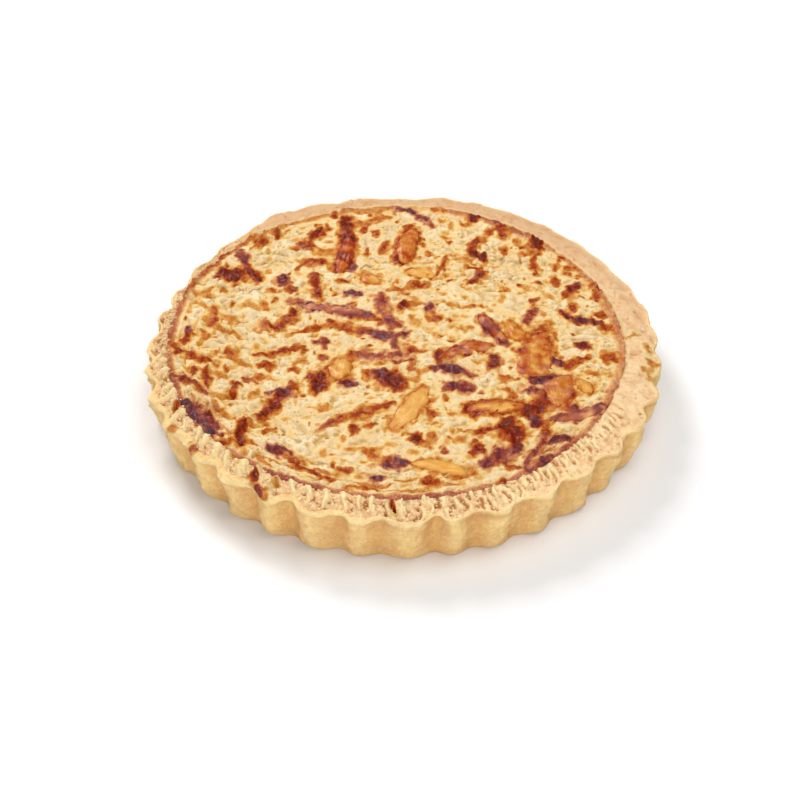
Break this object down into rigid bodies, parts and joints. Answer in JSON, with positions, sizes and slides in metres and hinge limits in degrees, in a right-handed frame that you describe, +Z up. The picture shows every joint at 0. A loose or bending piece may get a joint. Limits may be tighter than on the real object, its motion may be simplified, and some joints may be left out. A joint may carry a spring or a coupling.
{
  "type": "quiche",
  "caption": "Round open onion quiche: a fluted shortcrust pastry shell filled level with baked, browned custard, with roasted onion pieces half sunk in its top.",
  "frame": {"origin": "centre of the flat underside of the pastry", "axes": "+Z up out of the custard, -Y towards the side shown at the front, +X to that view's right"},
  "size_m": [0.2698, 0.2698, 0.0336],
  "materials": {
    "pastry": "baked shortcrust pastry: pale golden sides, pinkish tan rough rim with a pale lip, matt",
    "custard": "baked custard: cream to pale yellow with herb specks, golden to dark red-brown patches, slightly glossy",
    "browned_onion": "roasted red onion: red-brown to dark purple, glossy",
    "soft_onion": "softly baked onion: amber to orange, glossy, thinly browned at its edges"
  },
  "bodies": {
    "root": {"pastry_shell": "pastry", "custard_filling": "custard", "onion_piece_01": "soft_onion", "onion_piece_02": "soft_onion", "onion_piece_03": "browned_onion", "onion_piece_04": "soft_onion", "onion_piece_05": "soft_onion", "onion_piece_06": "browned_onion", "onion_piece_07": "soft_onion", "onion_piece_08": "soft_onion", "onion_piece_09": "browned_onion", "onion_piece_10": "browned_onion", "onion_piece_11": "browned_onion", "onion_piece_12": "browned_onion", "onion_piece_13": "soft_onion", "onion_piece_14": "soft_onion", "onion_piece_15": "browned_onion", "onion_piece_16": "browned_onion"}
  },
  "joints": []
}
